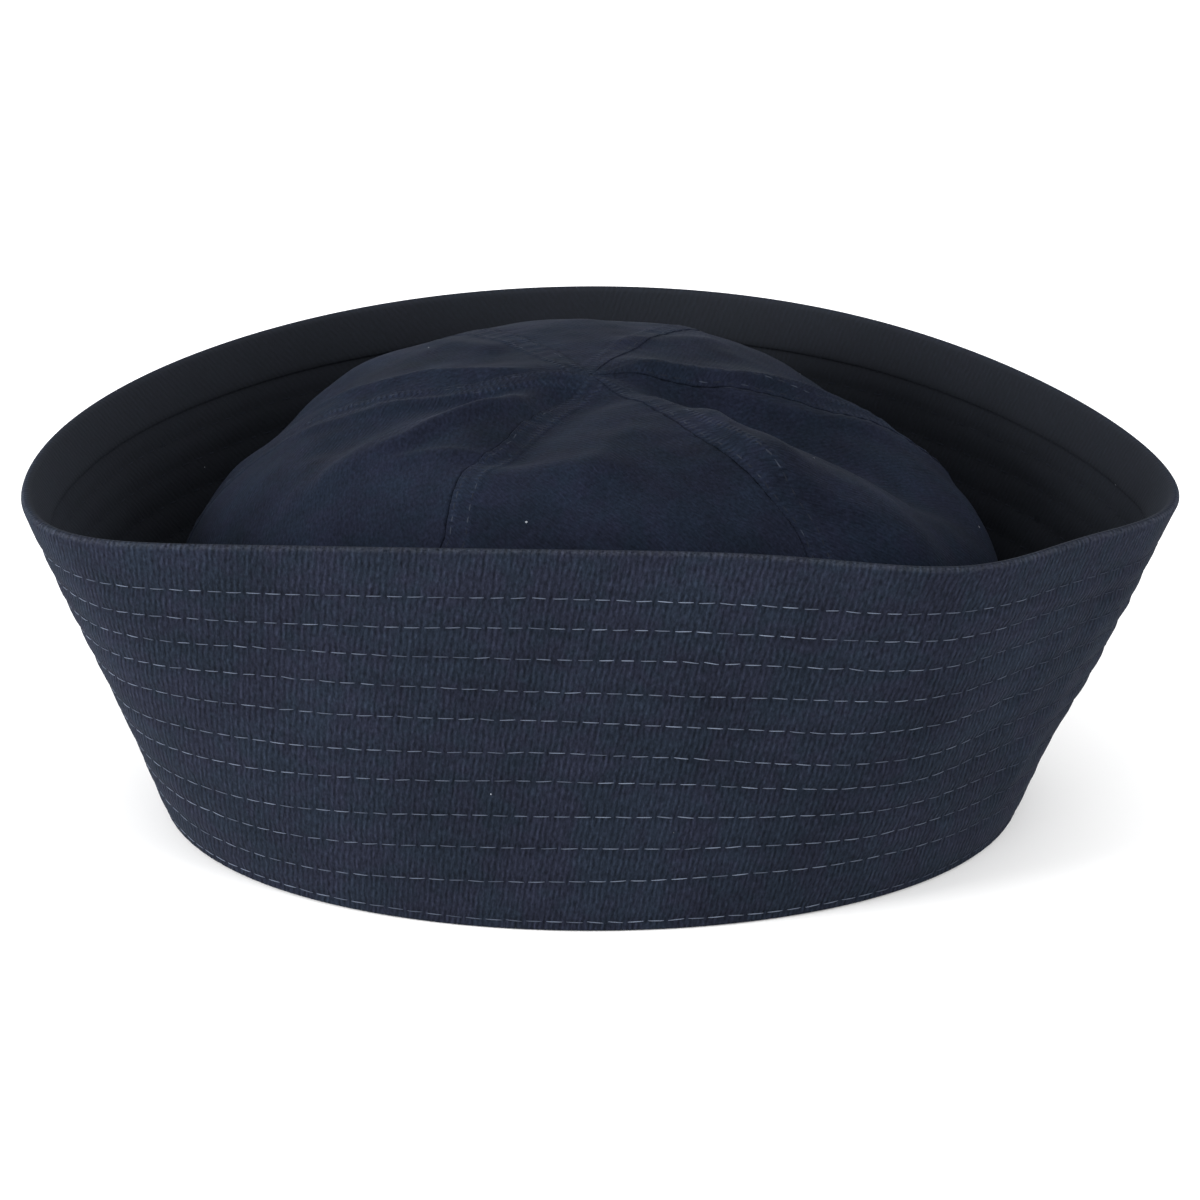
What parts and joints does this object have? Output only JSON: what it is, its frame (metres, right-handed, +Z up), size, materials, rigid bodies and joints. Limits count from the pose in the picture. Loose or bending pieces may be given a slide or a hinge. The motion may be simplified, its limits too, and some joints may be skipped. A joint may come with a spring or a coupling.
{
  "type": "sailor cap",
  "caption": "Navy cotton sailor cap: soft crown of sewn gores inside a tall turned-up brim with rows of channel stitching.",
  "frame": {"origin": "middle of the cap's length and width, on the surface it rests on", "axes": "+Z up through the crown, +X along the cap's length to the pointed right end of the brim, +Y to the back, so the pictured side faces -Y"},
  "size_m": [0.2718, 0.1964, 0.1058],
  "materials": {
    "brim_cotton": "matte",
    "crown_cotton": "matte",
    "sewing_thread": "matte"
  },
  "bodies": {
    "root": {"brim_outer_ply": "brim_cotton", "brim_inner_ply": "brim_cotton", "crown_gore_right_back": "crown_cotton", "crown_gore_back": "crown_cotton", "crown_gore_left_back": "crown_cotton", "crown_gore_left_front": "crown_cotton", "crown_gore_front": "crown_cotton", "crown_gore_right_front": "crown_cotton"}
  },
  "joints": []
}
